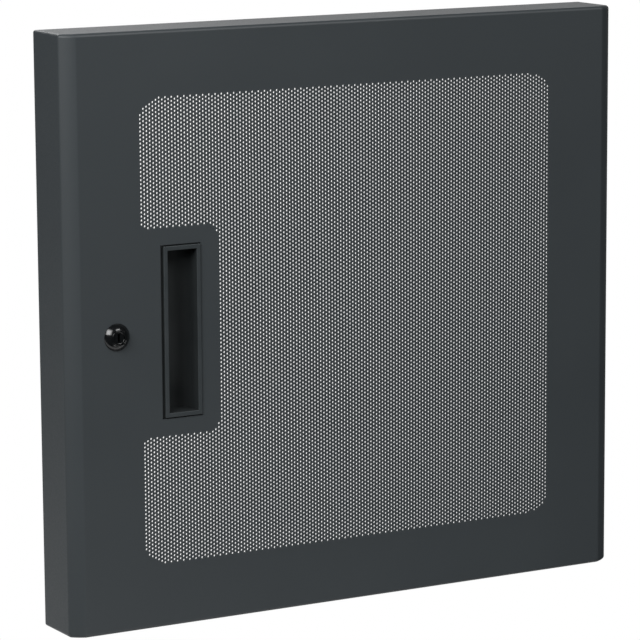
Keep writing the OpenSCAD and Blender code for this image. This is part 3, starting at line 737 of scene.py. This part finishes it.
# The plug: a dished face with the keyway, a round barrel, and a square tail for the cam.
PLUG_R, PLUG_FACE = 6.1 * MM, -4.3 * MM
PLUG_ROUND = 0.5 * MM
DISH_DEEP = 0.75 * MM
BRIM_R, BRIM_ROUND = 4.9 * MM, 0.3 * MM      # where the flat brim ends, and the round that follows
DISH_R, DISH_ROUND = 4.2 * MM, 0.4 * MM      # where the flat floor ends, and the hollow round it
DISH_SLOPE = 40      # degrees between the way that the dish's side faces and straight in
KEY_HALF = np.array((1.0, 3.4)) * MM
KEY_DEEP = 25 * MM
TAIL = 3.5 * MM
TAIL_END = 39.2 * MM
SCREW_HOLE = 1.95 * MM
plug = Skin()
dish_at = PLUG_FACE + DISH_DEEP
lathe(plug, LOCK_AXIS, [
    straight((PLUG_R, PLUG_FACE + PLUG_ROUND), (PLUG_R, LOCK_LEN)),
    rounded((PLUG_R - PLUG_ROUND, PLUG_FACE + PLUG_ROUND), PLUG_ROUND, 0, -90, 8),
    straight((BRIM_R, PLUG_FACE), (PLUG_R - PLUG_ROUND, PLUG_FACE)),
    rounded((BRIM_R, PLUG_FACE + BRIM_ROUND), BRIM_ROUND, -90, DISH_SLOPE - 180, 5),
    rounded((DISH_R, dish_at - DISH_ROUND), DISH_ROUND, DISH_SLOPE, 90, 5, hollow=True),
], steps=LOCK_STEPS)
EVEN_TURN = np.arange(0, 360, 7.5)
diagonal = np.degrees(np.arctan2(KEY_HALF[1], KEY_HALF[0]))
key_corners = [diagonal, 180 - diagonal, 180 + diagonal, 360 - diagonal]
turn = np.radians(np.sort(np.concatenate([EVEN_TURN, key_corners])))
c, s = np.cos(turn), np.sin(turn)
key = np.minimum(KEY_HALF[0] / np.maximum(np.abs(c), TINY), KEY_HALF[1] / np.maximum(np.abs(s), TINY))
rim = np.full(len(turn), DISH_R)
level = np.full(len(turn), dish_at)
face = np.stack([np.stack([r * c, level, r * s], axis=-1) for r in (rim, key)])
plug.put(face + LOCK_AXIS, (0, -1, 0), grid(2, len(turn), closed=True))
key_x, key_z = KEY_HALF
slot_end = dish_at + KEY_DEEP
for a, b in (((-1, -1), (1, -1)), ((1, -1), (1, 1)), ((1, 1), (-1, 1)), ((-1, 1), (-1, -1))):
    a, b = np.array(a) * KEY_HALF, np.array(b) * KEY_HALF
    wall = np.array([(a[0], dish_at, a[1]), (b[0], dish_at, b[1]), (b[0], slot_end, b[1]),
                     (a[0], slot_end, a[1])])
    middle = (a + b) / 2
    plug.quad(wall + LOCK_AXIS, (-middle[0], 0, -middle[1]) / np.linalg.norm(middle))
plug.quad(np.array([(-key_x, slot_end, -key_z), (key_x, slot_end, -key_z), (key_x, slot_end, key_z),
                    (-key_x, slot_end, key_z)]) + LOCK_AXIS, (0, -1, 0))
corner = np.array([(1, 1), (-1, 1), (-1, -1), (1, -1)]) * TAIL
for a, b in zip(corner, np.roll(corner, -1, axis=0)):
    wall = np.array([(a[0], LOCK_LEN, a[1]), (b[0], LOCK_LEN, b[1]), (b[0], TAIL_END, b[1]),
                     (a[0], TAIL_END, a[1])])
    out = (a + b) / 2
    plug.quad(wall + LOCK_AXIS, (out[0], 0, out[1]) / np.linalg.norm(out))
turn = np.radians(EVEN_TURN)
c, s = np.cos(turn), np.sin(turn)
edge = np.minimum(TAIL / np.maximum(np.abs(c), TINY), TAIL / np.maximum(np.abs(s), TINY))
for outer, inner, h in ((np.full(len(turn), PLUG_R), edge, LOCK_LEN),
                        (edge, np.full(len(turn), SCREW_HOLE), TAIL_END)):
    ring = np.stack([np.stack([r * c, 0 * c + h, r * s], axis=-1) for r in (outer, inner)])
    plug.put(ring + LOCK_AXIS, (0, 1, 0), grid(2, len(turn), closed=True))
plug = plug.object("plug")
plug.data.materials.append(gloss_black)
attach(plug, "plug")
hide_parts("lock_plug")


# ---- lock's fasteners and cam ----
# A toothed washer and a hexagon nut clamp the body to the sheet. The pressed stop washer and the
# cranked cam sit on the plug's square tail under a hexagon screw and its spring washer. Zinc plate.
NUT_EASE = 0.97          # radius where a hexagon's end starts to slope, as a share of its apothem
END_SLOPE = np.radians(30)


def hexagon(skin, at, apothem, bore, low, high):
    """Hexagon about the line through at along y, with a hole of radius bore. Its ends slope back by 30
    degrees outside a circle, so the edge at an angle lies lower the further its corner reaches."""
    ease = NUT_EASE * apothem
    for flat_at in np.radians(30 + 60 * np.arange(6)):
        angle = flat_at + np.radians(np.linspace(-30, 30, 9))
        c, s, reach = np.cos(angle), np.sin(angle), apothem / np.cos(angle - flat_at)
        drop = (reach - ease) * np.tan(END_SLOPE)
        edge = {}
        for h, way in ((low, -1), (high, 1)):
            rings = [np.stack([r * c, 0 * c + y, r * s], axis=-1) + at
                     for r, y in ((bore, h), (ease, h), (reach, h - way * drop))]
            skin.put(np.stack(rings[:2]), (0, way, 0), grid(2, len(angle)))
            slope = np.stack([np.sin(END_SLOPE) * c, 0 * c + way * np.cos(END_SLOPE),
                              np.sin(END_SLOPE) * s], axis=-1)
            skin.put(np.stack(rings[1:]), np.tile(slope, (2, 1)), grid(2, len(angle)))
            edge[way] = rings[2]
        skin.put(np.stack([edge[-1], edge[1]]), (np.cos(flat_at), 0, np.sin(flat_at)), grid(2, len(angle)))


def refinish(finish, *names):
    """Gives CAD pieces a finish, in every slot of their objects."""
    for name in names:
        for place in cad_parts[name].material_slots:
            place.material = finish


zinc_plate = plain("zinc_plate", (0.47, 0.475, 0.47), (0.60, 0.60, 0.58),
                   rough=(0.24, 0.16), grain=700.0, relief=0.25, metal=1.0)
stamped_brass = plain("stamped_brass", (0.56, 0.40, 0.15), (0.68, 0.50, 0.21),
                      rough=(0.26, 0.14), grain=900.0, relief=0.2, metal=1.0)
refinish(zinc_plate, "lock_washer", "stop_washer", "lock_cam", "cam_washer")
refinish(stamped_brass, "lock_wafers")

on_plug = LOCK_AXIS * (1, 0, 1)      # the lock's axis, for places along it taken from a CAD node's box
nut_low, nut_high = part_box("lock_nut")
nut = Skin()
hexagon(nut, on_plug, (nut_high.z - nut_low.z) / 2, THREAD_R, nut_low.y, nut_high.y)
lathe(nut, on_plug, [straight((THREAD_R, nut_high.y), (THREAD_R, nut_low.y))], steps=LOCK_STEPS)
nut = nut.object("clamp_nut")
nut.data.materials.append(zinc_plate)
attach(nut, "door")
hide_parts("lock_nut")

SHANK_R = 1.95 * MM
SCREW_HEAD_T = 3 * MM
DIMPLE_R = 2.2 * MM
DIMPLE_DEEP = 0.5 * MM
SCREW_STEPS = 48
screw_low, screw_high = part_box("cam_screw")
head_at = screw_high.y - SCREW_HEAD_T
screw = Skin()
hexagon(screw, on_plug, (screw_high.z - screw_low.z) / 2, DIMPLE_R, head_at, screw_high.y)
dimple = screw_high.y - DIMPLE_DEEP
lathe(screw, on_plug, [
    straight((DIMPLE_R, screw_high.y), (DIMPLE_R - DIMPLE_DEEP, dimple)),
    straight((SHANK_R, screw_low.y), (SHANK_R, head_at)),
    straight((SHANK_R, head_at), (DIMPLE_R, head_at)),
], steps=SCREW_STEPS)
turn = 2 * np.pi * np.arange(SCREW_STEPS) / SCREW_STEPS
for r, y, way in ((DIMPLE_R - DIMPLE_DEEP, dimple, 1), (SHANK_R, screw_low.y, -1)):
    disc = np.stack([r * np.cos(turn), 0 * turn + y, r * np.sin(turn)], axis=-1)
    screw.put(disc + on_plug, (0, way, 0), np.arange(len(turn))[None])
screw = screw.object("cam_bolt")
screw.data.materials.append(zinc_plate)
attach(screw, "plug")
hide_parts("cam_screw")


# ---- hinge brackets and leaves ----
# Inside the right wall, two brackets of bent 2 mm strip are spot-welded to the pan and coated with it.
# The leaves bolt to the rack's face; they are folded from 2.5 mm sheet and have the same coat.
refinish(coat_finish, "upper_bracket", "lower_bracket", "upper_leaf", "lower_leaf")


# ---- hinge pins ----
# The upper pin is a bent rod: a spring holds its rounded end up in the leaf, and its tail is pulled
# down to free the door. The lower pin is riveted into its bracket, and turns on a nylon washer.
PIN_STEPS = 40
TAIL_BEND = 6 * MM
END_EASE = 0.5 * MM
GROOVE_DEEP = 0.6 * MM
GROOVE_ROOM = 0.1 * MM
TIP_END, TIP_STEPS = 84, 14      # a tip's rounding stops this many degrees up, at a small flat


def rod(skin, rows):
    """Round bar in the upright plane of the hinge axis. A row is the centre's x and z, the bar's way in
    x and z, the radius, and the normal's parts away from the bar's middle and along it."""
    turn = 2 * np.pi * np.arange(PIN_STEPS) / PIN_STEPS
    x, z, way_x, way_z, r, out, along = (np.asarray(rows)[:, k, None] for k in range(7))
    c, s = np.cos(turn), np.sin(turn)
    radial = np.stack([-way_z * s, c + 0 * x, way_x * s], axis=-1)
    centre = np.stack([x, AXIS_Y + 0 * x, z], axis=-1)
    normals = out[..., None] * radial + along[..., None] * np.stack([way_x, 0 * x, way_z], axis=-1)
    points = centre + r[..., None] * radial
    skin.put(points, normals.reshape(-1, 3), grid(len(points), PIN_STEPS, closed=True))
    return points


def upright(profile, x):
    """Rows for rod() from a profile of radius and height, with the bar's way up."""
    r, h, out, along = profile.T
    return np.column_stack([0 * r + x, h, 0 * r, 0 * r + 1, r, out, along])


pin_low, pin_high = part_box("upper_hinge_pin")
PIN_R = (pin_high.y - pin_low.y) / 2
AXIS_X, AXIS_Y = pin_high.x - PIN_R, (pin_high.y + pin_low.y) / 2
clip_low, clip_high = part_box("pin_clip")
tail_z = pin_low.z + PIN_R
groove = PIN_R - GROOVE_DEEP
cut_low, cut_high = clip_low.z - GROOVE_ROOM, clip_high.z + GROOVE_ROOM
round_at = pin_high.z - PIN_R / np.sin(np.radians(TIP_END))
sprung = Skin()
# tail, from its free end to the bend
end = pin_low.x
ease = rounded((PIN_R - END_EASE, END_EASE), END_EASE, -90, 0)
first = rod(sprung, np.column_stack([end + ease[:, 1], 0 * ease[:, 0] + tail_z, 0 * ease[:, 0] + 1,
                                     0 * ease[:, 0], ease[:, 0], ease[:, 2], ease[:, 3]]))[0]
sprung.put(first, (-1, 0, 0), np.arange(len(first))[None])
bend_x, bend_z = AXIS_X - TAIL_BEND, tail_z + TAIL_BEND
rod(sprung, [(end + END_EASE, tail_z, 1, 0, PIN_R, 1, 0), (bend_x, tail_z, 1, 0, PIN_R, 1, 0)])
angle = np.radians(np.linspace(0, 90, 17))
c, s = np.cos(angle), np.sin(angle)
rod(sprung, np.column_stack([bend_x + TAIL_BEND * s, bend_z - TAIL_BEND * c, c, s,
                             0 * angle + PIN_R, 0 * angle + 1, 0 * angle]))
# stem, groove for the clip, and rounded tip
for part in (
    straight((PIN_R, bend_z), (PIN_R, cut_low)),
    straight((PIN_R, cut_low), (groove, cut_low)),
    straight((groove, cut_low), (groove, cut_high)),
    straight((groove, cut_high), (PIN_R, cut_high)),
    straight((PIN_R, cut_high), (PIN_R, round_at)),
):
    rod(sprung, upright(part, AXIS_X))
tip = rounded((0, round_at), PIN_R, 0, TIP_END, TIP_STEPS)
last = rod(sprung, upright(tip, AXIS_X))[-1]
sprung.put(last, (0, 0, 1), np.arange(len(last))[None])
sprung = sprung.object("sprung_hinge_pin")
sprung.data.materials.append(zinc_plate)
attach(sprung, "sprung_pin")
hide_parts("upper_hinge_pin")

RIVET_HEAD_T, HEAD_EASE = 1.5 * MM, 0.6 * MM
rivet_low, rivet_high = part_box("lower_hinge_pin")
head_r = (rivet_high.y - rivet_low.y) / 2
head_at = rivet_high.z - RIVET_HEAD_T
ease_at = rivet_high.z - HEAD_EASE
round_at = rivet_low.z + PIN_R / np.sin(np.radians(TIP_END))
fixed = Skin()
foot = rod(fixed, upright(rounded((0, round_at), PIN_R, -TIP_END, 0, TIP_STEPS), AXIS_X))[0]
for part in (
    straight((PIN_R, round_at), (PIN_R, head_at)),
    straight((PIN_R, head_at), (head_r, head_at)),
    straight((head_r, head_at), (head_r, ease_at)),
):
    rod(fixed, upright(part, AXIS_X))
crown = rod(fixed, upright(rounded((head_r - HEAD_EASE, ease_at), HEAD_EASE, 0, 90), AXIS_X))[-1]
fixed.put(foot, (0, 0, -1), np.arange(len(foot))[None])
fixed.put(crown, (0, 0, 1), np.arange(len(crown))[None])
fixed = fixed.object("riveted_hinge_pin")
fixed.data.materials.append(zinc_plate)
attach(fixed, "door")
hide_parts("lower_hinge_pin")
natural_nylon = plain("natural_nylon", (0.66, 0.65, 0.60), (0.74, 0.73, 0.68),
                      rough=(0.40, 0.10), grain=1200.0, relief=0.15)
refinish(natural_nylon, "hinge_washer")


# ---- pin's spring ----
# Compression spring of 1.1 mm wire, nine turns with a closed turn at each end, between the bracket's
# lower ear and the clip. Drawing the pin back squeezes it.
WIRE_R = 0.55 * MM
TURNS = 9
CLOSE_PITCH = 2.16 * WIRE_R
TURN_STEPS, WIRE_STEPS = 36, 10
spring_low, spring_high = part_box("pin_spring")
coil_r = (spring_high.y - spring_low.y) / 2 - WIRE_R
length = spring_high.z - spring_low.z - 2 * WIRE_R
turns = np.linspace(0, TURNS, TURNS * TURN_STEPS + 1)
# height along the wire: close pitch in the first and last turn and an even, wider one between
rise = np.interp(turns, [0, 1, TURNS - 1, TURNS], [0, CLOSE_PITCH, length - CLOSE_PITCH, length])
angle = 2 * np.pi * turns
away = np.stack([np.cos(angle), np.sin(angle), 0 * angle], axis=-1)
height = spring_low.z + WIRE_R + rise
middle = coil_r * away + np.stack([0 * angle + AXIS_X, 0 * angle + AXIS_Y, height], axis=-1)
along = np.gradient(middle, axis=0)
along /= np.linalg.norm(along, axis=1, keepdims=True)
across = np.cross(along, away)
round_wire = 2 * np.pi * np.arange(WIRE_STEPS) / WIRE_STEPS
c, s = np.cos(round_wire)[None, :, None], np.sin(round_wire)[None, :, None]
out = c * away[:, None] + s * across[:, None]
points = middle[:, None] + WIRE_R * out
spring = Skin()
spring.put(points, out.reshape(-1, 3), grid(len(points), WIRE_STEPS, closed=True))
for k, way in ((0, -1), (-1, 1)):
    spring.put(points[k], way * along[k], np.arange(WIRE_STEPS)[None])
spring = spring.object("return_spring")
spring_wire = plain("spring_wire", (0.29, 0.29, 0.30), (0.37, 0.37, 0.38),
                    rough=(0.20, 0.12), grain=1500.0, relief=0.2, metal=1.0)
spring.data.materials.append(spring_wire)
refinish(spring_wire, "pin_clip")
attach(spring, "door")
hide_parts("pin_spring")
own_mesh(spring)


# ---- bumpers ----
# Four soft rubber buttons stuck to the lips. The closed door rests on them against the rack's face.
BUMPER_R, BUMPER_TOP_R = 3.8 * MM, 3.0 * MM
BUMPER_EDGE, EDGE_END = 1.0 * MM, 80      # round of its edge, and the degrees up where it ends
BUMPER_CROWN, CROWN_R = 0.4 * MM, 0.35 * MM
BUMPER_UP = 40 * MM      # from an end of the door to the middle of a bumper on its left lip
BUMPER_STEPS = 40
bumper_low, bumper_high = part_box("door_bumpers")
side_x, mid_x = bumper_low.x + BUMPER_R, bumper_high.x - BUMPER_R
end_low, end_high = bumper_low.z + BUMPER_R, bumper_high.z - BUMPER_R
side_low, side_high = FOOT + BUMPER_UP, TOP - BUMPER_UP
rubber = plain("bumper_rubber", (0.014, 0.014, 0.015), (0.022, 0.022, 0.023),
               rough=(0.55, 0.15), grain=1300.0, relief=0.3)
slant = np.degrees(np.arctan2(BUMPER_R - BUMPER_TOP_R, bumper_high.y - bumper_low.y))
edge_r = BUMPER_TOP_R - BUMPER_EDGE * (1 - np.tan(np.radians(slant)))
edge_y = bumper_high.y - BUMPER_CROWN - BUMPER_EDGE
places = ((side_x, side_low), (side_x, side_high), (mid_x, end_low), (mid_x, end_high))
for number, (x, z) in enumerate(places, start=1):
    corner = rounded((edge_r, edge_y), BUMPER_EDGE, slant, EDGE_END)
    crown = np.array([(CROWN_R, bumper_high.y, 0, 1), corner[-1]])
    side = straight((BUMPER_R, bumper_low.y), tuple(corner[0, :2]))
    bumper = Skin()
    lathe(bumper, (x, 0, z), [side, corner, crown], steps=BUMPER_STEPS)
    turn = 2 * np.pi * np.arange(BUMPER_STEPS) / BUMPER_STEPS
    for r, y, way in ((CROWN_R, bumper_high.y, 1), (BUMPER_R, bumper_low.y, -1)):
        disc = np.stack([x + r * np.cos(turn), 0 * turn + y, z + r * np.sin(turn)], axis=-1)
        bumper.put(disc, (0, way, 0), np.arange(len(turn))[None])
    bumper = bumper.object(f"bumper_{number}")
    bumper.data.materials.append(rubber)
    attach(bumper, "door")
    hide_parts("door_bumpers")
